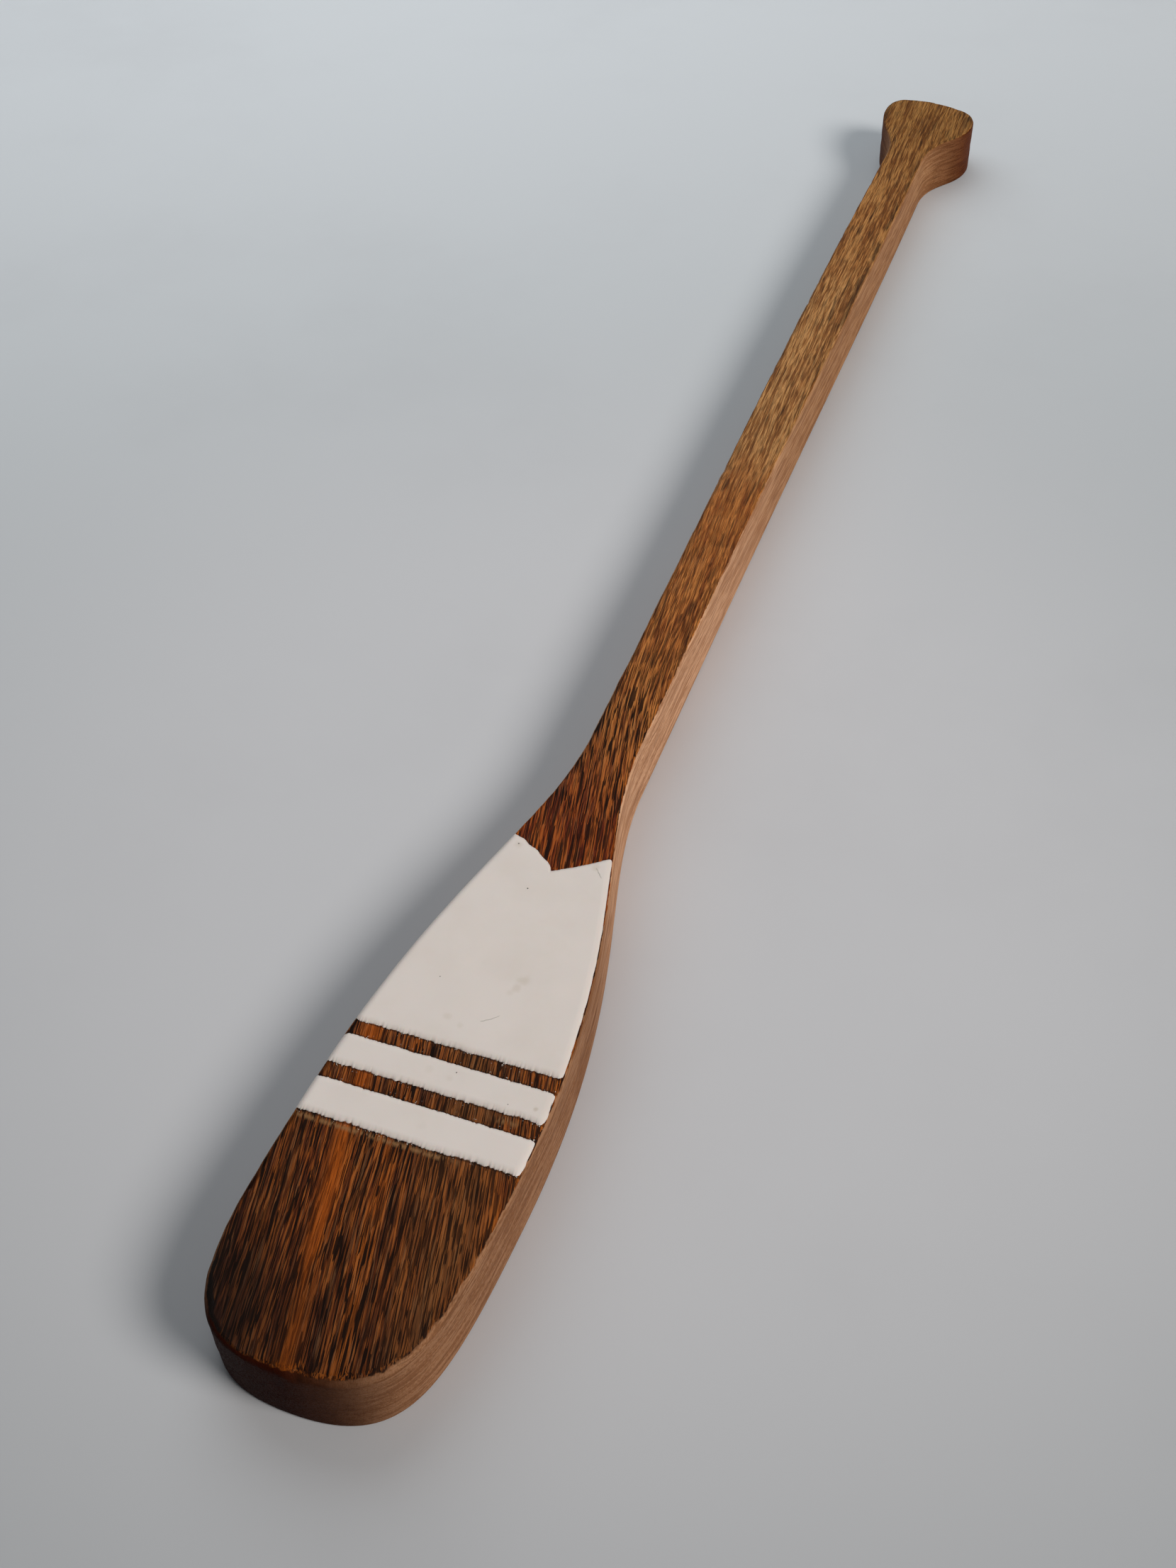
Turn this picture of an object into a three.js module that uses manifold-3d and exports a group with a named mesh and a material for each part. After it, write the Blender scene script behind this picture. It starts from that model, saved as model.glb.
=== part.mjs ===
// A one-piece wooden paddle with three white enamel fields across its blade.
// Millimetres. The paddle lies on its back: +Y runs from the blade's tip to the grip,
// +Z out of the enamelled face. The origin is the centre of the flat back's bounding box.
import * as THREE from 'three';
import { mergeVertices } from 'three/addons/utils/BufferGeometryUtils.js';
import Module from 'manifold-3d';

// The board
const LENGTH = 678.6;
const THICKNESS = 22;
const ARRIS = 0.9;
const ARRIS_STEPS = 2;
const CURVE_STEPS = 10;

// The outline: distances along the paddle are measured from the blade's tip, and a
// pull is how far a curve leaves its end point straight along the paddle
const TIP_BLUNTNESS = 30;
const TIP_PULL = 43;
const BLADE_HALF = 30.8;
const BLADE_BELLY = 31.6;
const BLADE_WIDEST = 60;
const BLADE_PULL = 80;
const NECK_HALF = 8.3;
const NECK = 214;
const NECK_PULL = 41;
const SHAFT_HALF = 10.5;
const SHAFT_START_PULL = 166;
const SHAFT_END_PULL = 132;
const THROAT_HALF = 8.8;
const THROAT = 617;
const THROAT_PULL = 24;
const GRIP_HALF = 21.7;
const GRIP_WIDEST = 661;
const GRIP_PULL = 20;
const GRIP_SHOULDER = 1.2;

// The grip's end: a flat crown between two rounded corners, set a little aside and out of square
const CORNER_WIDTH = 8.5;
const CORNER_RISE = 10;
const CORNER_DROP = 1.6;
const CROWN_HEIGHT = 2.4;
const CROWN_PULL = 5;
const GRIP_SHIFT = 1.8;
const GRIP_SLANT = 0.16;

// The blade's centreline bows to one side, as a board sawn by hand does
const BOW = 4.4;
const BOW_PEAK = 160;
const BOW_SHAPE = 1.6;

// The enamel fields, across the whole blade
const LOWER_STRIPE = [64.0, 74.8];
const UPPER_STRIPE = [79.6, 89.2];
const PANEL_FOOT = 93.7;
const NOTCH_SHOULDER = 169.2;
const NOTCH_APEX = 158.6;
const NOTCH_HALF = 14.2;

// How the enamel sits in the wood; the fields are drawn past the blade's edges, then cut to them
const POCKET_DEPTH = 1.2;
const ENAMEL_PROUD = 0.5;
const ENAMEL_INSET = 0.6;
const FIT_GAP = 0.3;
const FIELD_REACH = 60;
const CUT_MARGIN = 1;
const MERGE_DISTANCE = 1e-4;

const WOOD = { color: 0x6b4021, roughness: 0.55, metalness: 0 };
const ENAMEL = { color: 0xe6ded6, roughness: 0.3, metalness: 0 };

const wasm = await Module();
wasm.setup();

/** Sideways shift of the centreline at a distance y from the tip. */
function bow(y) {
  const reach = y / BOW_PEAK;
  return BOW * Math.pow(reach * Math.exp(1 - reach), BOW_SHAPE);
}

/** One edge of the board, from the tip to the middle of the grip's end, as x and y from the centreline. */
function edge() {
  const path = new THREE.CurvePath();
  const at = (x, y) => new THREE.Vector2(x, y);
  const bezier = (a, b, c, d) => path.add(new THREE.CubicBezierCurve(a, b, c, d));
  const tip = at(0, 0);
  const widest = at(BLADE_HALF, BLADE_WIDEST);
  const neck = at(NECK_HALF, NECK);
  const throat = at(THROAT_HALF, THROAT);
  const flare = at(GRIP_HALF, GRIP_WIDEST);
  const crown = LENGTH - CROWN_HEIGHT;
  const corner = at(GRIP_HALF - CORNER_WIDTH, crown);
  const end = at(0, LENGTH);
  const shoulder = at(GRIP_HALF - GRIP_SHOULDER, GRIP_WIDEST - GRIP_PULL);
  bezier(tip, at(TIP_BLUNTNESS, 0), at(BLADE_HALF, BLADE_WIDEST - TIP_PULL), widest);
  bezier(widest, at(BLADE_BELLY, BLADE_WIDEST + BLADE_PULL), at(NECK_HALF, NECK - NECK_PULL), neck);
  bezier(neck, at(NECK_HALF, NECK + SHAFT_START_PULL), at(SHAFT_HALF, THROAT - SHAFT_END_PULL), throat);
  bezier(throat, at(THROAT_HALF, THROAT + THROAT_PULL), shoulder, flare);
  bezier(flare, at(GRIP_HALF, GRIP_WIDEST + CORNER_RISE),
    at(corner.x + CROWN_PULL, crown - CORNER_DROP), corner);
  bezier(corner, at(corner.x - CROWN_PULL, crown + CORNER_DROP), at(CROWN_PULL, LENGTH), end);
  return path.curves.flatMap((curve, i) => curve.getPoints(CURVE_STEPS).slice(i === 0 ? 0 : 1));
}

/** The whole outline, anticlockwise from the tip, bowed, with the grip set aside and out of square. */
function outline() {
  const half = edge();
  const right = half.map((p) => new THREE.Vector2(p.x, p.y));
  const left = half.slice(1, -1).reverse().map((p) => new THREE.Vector2(-p.x, p.y));
  return [...right, ...left].map((p) => {
    const inGrip = THREE.MathUtils.smoothstep(p.y, THROAT, GRIP_WIDEST);
    const x = p.x + bow(p.y) + GRIP_SHIFT * inGrip;
    return new THREE.Vector2(x, p.y - GRIP_SLANT * inGrip * p.x);
  });
}

/** A geometry as a solid: shared corners merged, nothing kept but positions. */
function toSolid(geometry) {
  geometry.deleteAttribute('normal');
  geometry.deleteAttribute('uv');
  const merged = mergeVertices(geometry, MERGE_DISTANCE);
  return new wasm.Manifold(new wasm.Mesh({
    numProp: 3,
    vertProperties: new Float32Array(merged.attributes.position.array),
    triVerts: new Uint32Array(merged.index.array),
  }));
}

/** A solid as a geometry. */
function toGeometry(solid) {
  const mesh = solid.getMesh();
  const geometry = new THREE.BufferGeometry();
  geometry.setAttribute('position', new THREE.BufferAttribute(mesh.vertProperties, 3));
  geometry.setIndex(new THREE.BufferAttribute(mesh.triVerts, 1));
  geometry.computeVertexNormals();
  return geometry;
}

/** The sawn board's blank: the outline, with rounded arrises on its face and back. */
function blank() {
  const geometry = new THREE.ExtrudeGeometry(new THREE.Shape(outline()), {
    depth: THICKNESS - 2 * ARRIS,
    bevelThickness: ARRIS,
    bevelSize: ARRIS,
    bevelOffset: -ARRIS,
    bevelSegments: ARRIS_STEPS,
    steps: 1,
  });
  geometry.translate(0, 0, ARRIS);
  return toSolid(geometry);
}

/** A flat slab of a polygon's shape between two heights. */
function slab(points, low, high) {
  const shape = new THREE.Shape(points.map(([x, y]) => new THREE.Vector2(x, y)));
  const geometry = new THREE.ExtrudeGeometry(shape, { depth: high - low, bevelEnabled: false });
  geometry.translate(0, 0, low);
  return toSolid(geometry);
}

/** A stripe across the blade, grown along the paddle by a margin. */
function stripe([foot, head], margin) {
  return [
    [-FIELD_REACH, foot - margin],
    [FIELD_REACH, foot - margin],
    [FIELD_REACH, head + margin],
    [-FIELD_REACH, head + margin],
  ];
}

/** The large panel: straight foot, and a head notched to a point on the centreline. */
function panel(margin) {
  const centre = bow(NOTCH_APEX);
  const rise = (NOTCH_SHOULDER - NOTCH_APEX) / NOTCH_HALF;
  const apex = NOTCH_APEX + margin * Math.hypot(1, rise);
  return [
    [-FIELD_REACH, PANEL_FOOT - margin],
    [FIELD_REACH, PANEL_FOOT - margin],
    [FIELD_REACH, apex + rise * (FIELD_REACH - centre)],
    [centre, apex],
    [-FIELD_REACH, apex + rise * (FIELD_REACH + centre)],
  ];
}

/** The outline drawn in from the board's sides, as the enamel's own edge is. */
function insetOutline() {
  const points = outline();
  return points.map((p, i) => {
    const before = points[(i + points.length - 1) % points.length];
    const after = points[(i + 1) % points.length];
    const along = after.clone().sub(before).normalize();
    return [p.x - along.y * ENAMEL_INSET, p.y + along.x * ENAMEL_INSET];
  });
}

/** The board: blade, neck, shaft and grip in one piece, with a shallow pocket for each enamel field. */
function paddleBoard() {
  const pockets = [stripe(LOWER_STRIPE, FIT_GAP), stripe(UPPER_STRIPE, FIT_GAP), panel(FIT_GAP)];
  const floor = THICKNESS - POCKET_DEPTH;
  const cut = (wood, pocket) => wood.subtract(slab(pocket, floor, THICKNESS + CUT_MARGIN));
  return pockets.reduce(cut, blank());
}

/** One enamel field: its shape across the blade, cut to the blade's own edges. */
function enamelField(points) {
  const low = THICKNESS - POCKET_DEPTH + FIT_GAP;
  const high = THICKNESS + ENAMEL_PROUD;
  return slab(insetOutline(), low, high).intersect(slab(points, low - CUT_MARGIN, high + CUT_MARGIN));
}

/** A named mesh of one solid in its own material. */
function piece(name, solid, finish) {
  const mesh = new THREE.Mesh(toGeometry(solid), new THREE.MeshStandardMaterial(finish));
  mesh.name = name;
  return mesh;
}

const paddle = new THREE.Group();
paddle.add(piece('paddle_board', paddleBoard(), WOOD));
paddle.add(piece('enamel_panel', enamelField(panel(0)), ENAMEL));
paddle.add(piece('enamel_stripe_upper', enamelField(stripe(UPPER_STRIPE, 0)), ENAMEL));
paddle.add(piece('enamel_stripe_lower', enamelField(stripe(LOWER_STRIPE, 0)), ENAMEL));

const back = new THREE.Box2().setFromPoints(outline()).getCenter(new THREE.Vector2());
paddle.position.set(-back.x, -back.y, 0);

export default paddle;
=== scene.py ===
import math

import bpy
import numpy as np
from mathutils import Matrix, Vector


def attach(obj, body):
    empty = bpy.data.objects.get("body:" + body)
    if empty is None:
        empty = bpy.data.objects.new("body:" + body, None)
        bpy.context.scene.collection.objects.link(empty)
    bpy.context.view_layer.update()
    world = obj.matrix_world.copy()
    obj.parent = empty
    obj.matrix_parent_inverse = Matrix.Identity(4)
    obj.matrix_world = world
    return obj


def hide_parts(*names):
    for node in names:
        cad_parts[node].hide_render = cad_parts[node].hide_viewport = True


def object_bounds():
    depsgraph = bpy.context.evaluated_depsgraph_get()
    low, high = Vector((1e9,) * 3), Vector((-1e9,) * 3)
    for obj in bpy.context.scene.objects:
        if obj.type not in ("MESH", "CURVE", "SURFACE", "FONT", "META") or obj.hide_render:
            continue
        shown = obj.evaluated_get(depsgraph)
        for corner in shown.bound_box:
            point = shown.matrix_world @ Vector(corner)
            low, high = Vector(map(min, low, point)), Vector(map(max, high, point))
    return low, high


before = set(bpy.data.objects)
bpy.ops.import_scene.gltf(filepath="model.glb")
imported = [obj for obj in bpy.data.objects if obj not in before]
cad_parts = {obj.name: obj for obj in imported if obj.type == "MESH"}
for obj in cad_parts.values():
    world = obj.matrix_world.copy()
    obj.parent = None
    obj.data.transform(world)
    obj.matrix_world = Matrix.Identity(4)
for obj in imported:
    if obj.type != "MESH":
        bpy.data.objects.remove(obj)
cad_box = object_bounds()

# ---------------------------------------------------------------------------
# The view: a camera held above the blade's right side, tipped forward so that
# the paddle runs away from it towards the grip.
# ---------------------------------------------------------------------------
CAMERA_PLACE = (0.1308, -0.4726, 0.3819)
CAMERA_TILT = math.radians(44.4)
CAMERA_TURN = math.radians(21.8)
CAMERA_ROLL = math.radians(-2.14)
CAMERA_LENS = 39.06
CAMERA_FILM = 36

camera = bpy.data.objects.new("camera", bpy.data.cameras.new("camera"))
camera.data.sensor_fit = "AUTO"
camera.data.sensor_width = CAMERA_FILM
camera.data.lens = CAMERA_LENS
camera.data.clip_start = 0.01
camera.data.clip_end = 20
camera.matrix_world = (Matrix.Translation(CAMERA_PLACE)
                       @ Matrix.Rotation(CAMERA_TURN, 4, "Z")
                       @ Matrix.Rotation(CAMERA_TILT, 4, "X")
                       @ Matrix.Rotation(CAMERA_ROLL, 4, "Z"))
bpy.context.scene.collection.objects.link(camera)
bpy.context.scene.camera = camera


# ---------------------------------------------------------------------------
# The floor: one broad sheet of pale grey board, faintly mottled, on which the
# paddle lies. Its colour holds painted shade towards the near side, painted light
# far off and a painted pool of light round the paddle. One wide window-like lamp,
# a faint far panel and the room light it.
# ---------------------------------------------------------------------------
FLOOR_HALF = 4.0
# Painted shade and light: the floor's colour darkens towards the near side and lightens far off
FLOOR_FAR_PAINTED_LIGHT_TONE = (0.77, 0.79, 0.81, 1)
FLOOR_NEAR_PAINTED_SHADE_TONE = (0.29, 0.305, 0.31, 1)
FLOOR_PAINTED_LIGHT_WAY = (-0.5, 0.75, 0)
FLOOR_PAINTED_LIGHT_SPAN = (-0.6, 0.6)
FLOOR_CLOUD_TONE = (0.93, 0.925, 0.925, 1)
FLOOR_CLOUDS = 5.0
FLOOR_CLOUD_SPAN = (0.45, 0.75)
FLOOR_CLOUD_SHARE = 0.6
# Painted light: a lighter pool in the floor's colour round the paddle
FLOOR_PAINTED_POOL_TONE = (0.68, 0.665, 0.675, 1)
FLOOR_PAINTED_POOL_CENTRE = (0.0, -0.16, 0.0)
FLOOR_PAINTED_POOL_SPAN = (0.36, 0.10)
FLOOR_PAINTED_POOL_SHARE = 0.75
FLOOR_ROUGHNESS = 0.55
FLOOR_SPECULAR = 0.25
WINDOW_TONE = (1.0, 0.975, 0.95)
WINDOW_POWER = 48
WINDOW_SIZE = 1.05
WINDOW_DISTANCE = 2.6
WINDOW_HEIGHT = math.radians(38)
WINDOW_SIDE = math.radians(-38)
FAR_LAMP_TONE = (0.90, 0.96, 1.0)
FAR_LAMP_POWER = 6
FAR_LAMP_SIZE = 1.3
FAR_LAMP_DISTANCE = 1.15
FAR_LAMP_HEIGHT = math.radians(50)
FAR_LAMP_SIDE = math.radians(108)
ROOM_FAR_TONE = (0.135, 0.143, 0.15, 1)
ROOM_NEAR_TONE = (0.015, 0.015, 0.015, 1)
ROOM_FAR_SIDE = (-0.35, 0.80, 0.48)
ROOM_FAR_SPAN = (-0.7, 0.9)


def node(tree, kind, inputs=None, **settings):
    """Adds a node, sets its settings, then fills or links its inputs by name or number."""
    made = tree.nodes.new(kind)
    for name, value in settings.items():
        setattr(made, name, value)
    for name, value in (inputs or {}).items():
        if isinstance(value, bpy.types.NodeSocket):
            tree.links.new(value, made.inputs[name])
        else:
            made.inputs[name].default_value = value
    return made


def maths(tree, operation, first, second=0.0, third=0.0):
    """One step of arithmetic on up to three values."""
    return node(tree, "ShaderNodeMath", {0: first, 1: second, 2: third}, operation=operation).outputs[0]


def vector_maths(tree, operation, first, second, output=0):
    """One step of arithmetic on two vectors."""
    return node(tree, "ShaderNodeVectorMath", {0: first, 1: second}, operation=operation).outputs[output]


def noise(tree, vector, scale, detail=2.0, roughness=0.5):
    """A cloud pattern around one half, at so many features per unit of its vector."""
    return node(tree, "ShaderNodeTexNoise",
                {"Vector": vector, "Scale": scale, "Detail": detail, "Roughness": roughness}).outputs[0]


def eased(tree, value, low, high, out_low=0.0, out_high=1.0):
    """Goes smoothly from out_low to out_high as a value passes from low to high."""
    return node(tree, "ShaderNodeMapRange",
                {"Value": value, "From Min": low, "From Max": high, "To Min": out_low, "To Max": out_high},
                interpolation_type="SMOOTHSTEP").outputs[0]


def blend(tree, factor, first, second, blend_type="MIX"):
    """The first colour going over to the second as the factor rises."""
    return node(tree, "ShaderNodeMix", {0: factor, 6: first, 7: second},
                data_type="RGBA", blend_type=blend_type).outputs[2]


def shaded(tree, factor, colour, shade):
    """A colour multiplied by a shade, more so as the factor rises."""
    return blend(tree, factor, colour, shade, "MULTIPLY")


def shader_material(name):
    """A new material, its node tree, its one surface shader and its object coordinates."""
    made = bpy.data.materials.new(name)
    made.use_nodes = True
    tree = made.node_tree
    surface = tree.nodes["Principled BSDF"]
    place = node(tree, "ShaderNodeTexCoord").outputs["Object"]
    return made, tree, surface, place


floor_paint, tree, surface, place = shader_material("floor_board_painted_light")
# Painted shade and light: the floor's colour is darker towards the near side and lighter far off
toward_painted_light = vector_maths(tree, "DOT_PRODUCT", place, FLOOR_PAINTED_LIGHT_WAY, "Value")
tone = blend(tree, eased(tree, toward_painted_light, *FLOOR_PAINTED_LIGHT_SPAN), FLOOR_NEAR_PAINTED_SHADE_TONE, FLOOR_FAR_PAINTED_LIGHT_TONE)
# Painted light: the floor's colour is lifted in a pool round the paddle
from_painted_pool = vector_maths(tree, "DISTANCE", place, FLOOR_PAINTED_POOL_CENTRE, "Value")
painted_pool_share = eased(tree, from_painted_pool, *FLOOR_PAINTED_POOL_SPAN, 0.0, FLOOR_PAINTED_POOL_SHARE)
tone = blend(tree, painted_pool_share, tone, FLOOR_PAINTED_POOL_TONE)
cloud = eased(tree, noise(tree, place, FLOOR_CLOUDS, 5.0, 0.6), *FLOOR_CLOUD_SPAN, 0.0, FLOOR_CLOUD_SHARE)
tree.links.new(shaded(tree, cloud, tone, FLOOR_CLOUD_TONE), surface.inputs["Base Color"])
surface.inputs["Roughness"].default_value = FLOOR_ROUGHNESS
surface.inputs["Specular IOR Level"].default_value = FLOOR_SPECULAR

floor_level = cad_box[0].z
floor_mesh = bpy.data.meshes.new("floor")
floor_mesh.from_pydata([(-FLOOR_HALF, -FLOOR_HALF, floor_level), (FLOOR_HALF, -FLOOR_HALF, floor_level),
                        (FLOOR_HALF, FLOOR_HALF, floor_level), (-FLOOR_HALF, FLOOR_HALF, floor_level)],
                       [], [(0, 1, 2, 3)])
floor_mesh.materials.append(floor_paint)
floor = bpy.data.objects.new("floor", floor_mesh)
bpy.context.scene.collection.objects.link(floor)


def lamp(name, tone, power, size, distance, height, side):
    """A round soft lamp that faces the frame's origin from a height and a side of the view."""
    made = bpy.data.objects.new(name, bpy.data.lights.new(name, "AREA"))
    made.data.shape = "DISK"
    made.data.size = size
    made.data.energy = power
    made.data.color = tone
    made.matrix_world = (Matrix.Rotation(CAMERA_TURN + side, 4, "Z")
                         @ Matrix.Rotation(math.pi / 2 - height, 4, "Y")
                         @ Matrix.Translation((0, 0, distance)))
    bpy.context.scene.collection.objects.link(made)


lamp("window_light", WINDOW_TONE, WINDOW_POWER, WINDOW_SIZE, WINDOW_DISTANCE, WINDOW_HEIGHT, WINDOW_SIDE)
lamp("far_panel", FAR_LAMP_TONE, FAR_LAMP_POWER, FAR_LAMP_SIZE, FAR_LAMP_DISTANCE, FAR_LAMP_HEIGHT,
     FAR_LAMP_SIDE)

room = bpy.data.worlds.new("room")
room.use_nodes = True
tree = room.node_tree
toward = node(tree, "ShaderNodeTexCoord").outputs["Generated"]
far_side = vector_maths(tree, "DOT_PRODUCT", toward, ROOM_FAR_SIDE, "Value")
room_tone = blend(tree, eased(tree, far_side, *ROOM_FAR_SPAN), ROOM_NEAR_TONE, ROOM_FAR_TONE)
tree.links.new(room_tone, tree.nodes["Background"].inputs["Color"])
bpy.context.scene.world = room
bpy.context.scene.view_settings.view_transform = "Standard"


# ---------------------------------------------------------------------------
# The paddle board: one plank of open-grained tropical hardwood, sawn to shape
# with blade, neck, shaft and grip in one, its face stained dark, and its sides
# sanded back to paler wood. Three shallow pockets cross the blade for enamel.
# ---------------------------------------------------------------------------
MM = 0.001

# The outline in mm, with distances along the paddle from the blade's tip; a pull is how far a
# curve leaves its end point straight along the paddle
LENGTH = 678.6
THICKNESS = 22
TIP_BLUNTNESS = 30
TIP_PULL = 43
BLADE_HALF = 30.8
BLADE_BELLY = 31.6
BLADE_WIDEST = 60
BLADE_PULL = 80
NECK_HALF = 8.3
NECK = 214
NECK_PULL = 41
SHAFT_HALF = 10.5
SHAFT_START_PULL = 166
SHAFT_END_PULL = 132
THROAT_HALF = 8.8
THROAT = 617
THROAT_PULL = 24
GRIP_HALF = 21.7
GRIP_WIDEST = 661
GRIP_PULL = 20
GRIP_SHOULDER = 1.2
CORNER_WIDTH = 8.5
CORNER_RISE = 10
CORNER_DROP = 1.6
CROWN_HEIGHT = 2.4
CROWN_PULL = 5
GRIP_SHIFT = 1.8
GRIP_SLANT = 0.16
BOW = 4.4
BOW_PEAK = 160
BOW_SHAPE = 1.6

# The mesh: how many places each half of the edge has, how finely its curves are drawn, and how
# far the face's middle line stops short of the tip and of the grip's end
HALF_STEPS = 740
CURVE_STEPS = 200
SPINE_FOOT = 22
SPINE_HEAD = 14


def bezier(a, b, c, d):
    """Cubic curve from a to d, leaving a towards b and arriving at d from c."""
    t = np.linspace(0, 1, CURVE_STEPS)[:, None]
    a, b, c, d = (np.array(p, float) for p in (a, b, c, d))
    return (1 - t) ** 3 * a + 3 * t * (1 - t) ** 2 * b + 3 * t * t * (1 - t) * c + t ** 3 * d


def half_edge():
    """The right edge from the tip to the middle of the grip's end, in even steps, before the bow."""
    crown = LENGTH - CROWN_HEIGHT
    corner = GRIP_HALF - CORNER_WIDTH
    widest = (BLADE_HALF, BLADE_WIDEST)
    neck = (NECK_HALF, NECK)
    throat = (THROAT_HALF, THROAT)
    flare = (GRIP_HALF, GRIP_WIDEST)
    shoulder = (GRIP_HALF - GRIP_SHOULDER, GRIP_WIDEST - GRIP_PULL)
    path = np.concatenate([
        bezier((0, 0), (TIP_BLUNTNESS, 0), (BLADE_HALF, BLADE_WIDEST - TIP_PULL), widest),
        bezier(widest, (BLADE_BELLY, BLADE_WIDEST + BLADE_PULL), (NECK_HALF, NECK - NECK_PULL), neck),
        bezier(neck, (NECK_HALF, NECK + SHAFT_START_PULL), (SHAFT_HALF, THROAT - SHAFT_END_PULL), throat),
        bezier(throat, (THROAT_HALF, THROAT + THROAT_PULL), shoulder, flare),
        bezier(flare, (GRIP_HALF, GRIP_WIDEST + CORNER_RISE), (corner + CROWN_PULL, crown - CORNER_DROP),
               (corner, crown)),
        bezier((corner, crown), (corner - CROWN_PULL, crown + CORNER_DROP), (CROWN_PULL, LENGTH),
               (0, LENGTH))])
    step = np.hypot(*np.diff(path, axis=0).T)
    path = path[np.concatenate([[True], step > 1e-6])]
    run = np.concatenate([[0], np.cumsum(np.hypot(*np.diff(path, axis=0).T))])
    even = np.linspace(0, run[-1], HALF_STEPS)
    return np.stack([np.interp(even, run, path[:, 0]), np.interp(even, run, path[:, 1])], 1), even


def bent(x, y):
    """Places x across and y along the paddle: the blade bows aside, the grip is shifted and slanted."""
    reached = np.clip(y, 0, None) / BOW_PEAK
    bow = BOW * (reached * np.exp(1 - reached)) ** BOW_SHAPE
    t = np.clip((y - THROAT) / (GRIP_WIDEST - THROAT), 0, 1)
    in_grip = t * t * (3 - 2 * t)
    return np.stack([x + bow + GRIP_SHIFT * in_grip, y - GRIP_SLANT * in_grip * x], -1)


def ripple(u, lengths, seed):
    """Sum of sines of the given wavelengths at random phases, between about -1 and 1."""
    phases = np.random.default_rng(seed).uniform(0, 2 * np.pi, len(lengths))
    waves = [np.sin(2 * np.pi * u / length + phase) for length, phase in zip(lengths, phases)]
    return sum(waves) / math.sqrt(len(lengths))


def hump(u, centre, width):
    """A bell of height 1 at the centre."""
    return np.exp(-((u - centre) / width) ** 2)


half, half_run = half_edge()
across = np.concatenate([half[:, 0], -half[-2:0:-1, 0]])
along = np.concatenate([half[:, 1], half[-2:0:-1, 1]])
edge_run = np.concatenate([half_run, -half_run[-2:0:-1]])
rim = bent(across, along)
centre_of_back = (rim.min(0) + rim.max(0)) / 2
rim -= centre_of_back
spine_y = SPINE_FOOT + along / LENGTH * (LENGTH - SPINE_FOOT - SPINE_HEAD)
spine = bent(np.zeros_like(spine_y), spine_y) - centre_of_back
tangent = np.roll(rim, -1, 0) - np.roll(rim, 1, 0)
tangent /= np.hypot(*tangent.T)[:, None]
inward = np.stack([-tangent[:, 1], tangent[:, 0]], 1)

# The enamel fields' places along the board, which its pockets follow
LOWER_STRIPE = (64.0, 74.8)
UPPER_STRIPE = (79.6, 89.2)
PANEL_FOOT = 93.7
NOTCH_SHOULDER = 169.2
NOTCH_APEX = 158.6
NOTCH_HALF = 14.2
POCKET_DEPTH = 1.0
POCKET_MARGIN = 1.2
POCKET_SLOPE = 1.2

# How far each arris is worn round, in mm. Places along the edge run from the tip, positive on
# the right-hand side and negative on the left; a nick is a place, a width and a depth.
LEFT_ARRIS = 0.8
RIGHT_ARRIS = 1.1
SIDES_MEET = 12
TIP_ARRIS = 1.6
TIP_ARRIS_AT = 18
TIP_ARRIS_REACH = 34
ARRIS_RIPPLE = 0.16
ARRIS_STEEPNESS = 0.85
SCORCHED_CORNER = -29
SCORCHED_WIDTH = 15
SCORCHED_ARRIS = 1.6
BACK_ARRIS = 1.0
NICKS = (
    (-736, 1.6, 1.8), (742, 1.4, 1.4), (4, 1.3, 1.6), (-448, 2.2, 0.8), (-502, 1.6, 0.7),
    (-519, 1.2, 0.6), (-560, 1.4, 0.6), (-380, 2.6, 0.9), (-372, 1.4, 0.7), (86, 1.2, 0.5),
    (101, 1.6, 0.5), (-120, 1.4, 0.4), (520, 2.0, 0.5), (470, 1.5, 0.5), (-610, 1.8, 0.6),
)

# The board's unevenness in mm, and how many rows of points each part of its skin has
RIM_INSET = 0.16
FACE_WAVE = 0.10
FACE_DROP = 0.1
SAW_WANDER = 0.07
SIDE_HOLLOW = 0.12
FACE_ROWS = 19
FACE_CROWDING = 0.75
ARRIS_ROWS = 8
SIDE_ROWS = 10
BACK_ARRIS_ROWS = 5
BACK_ROWS = 7


def arris_sizes():
    """Width and depth of the rounded face arris at each place round the edge.

    The width goes over from the left side's to the right side's, with a bell at the tip and one
    at the scorched corner, all uneven by a sum of waves, and then a bell for each nick. The depth
    is a share of the width."""
    right = 0.5 + 0.5 * np.tanh(edge_run / SIDES_MEET)
    size = LEFT_ARRIS + (RIGHT_ARRIS - LEFT_ARRIS) * right
    size = size + TIP_ARRIS * hump(edge_run, TIP_ARRIS_AT, TIP_ARRIS_REACH)
    size = size + SCORCHED_ARRIS * hump(edge_run, SCORCHED_CORNER, SCORCHED_WIDTH)
    size = size * (1 + ARRIS_RIPPLE * ripple(edge_run, (47, 23, 11.3, 6.1), 3))
    for place_along, width, depth in NICKS:
        size = size + depth * hump(edge_run, place_along, width)
    return size[:, None], ARRIS_STEEPNESS * size[:, None]


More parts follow.
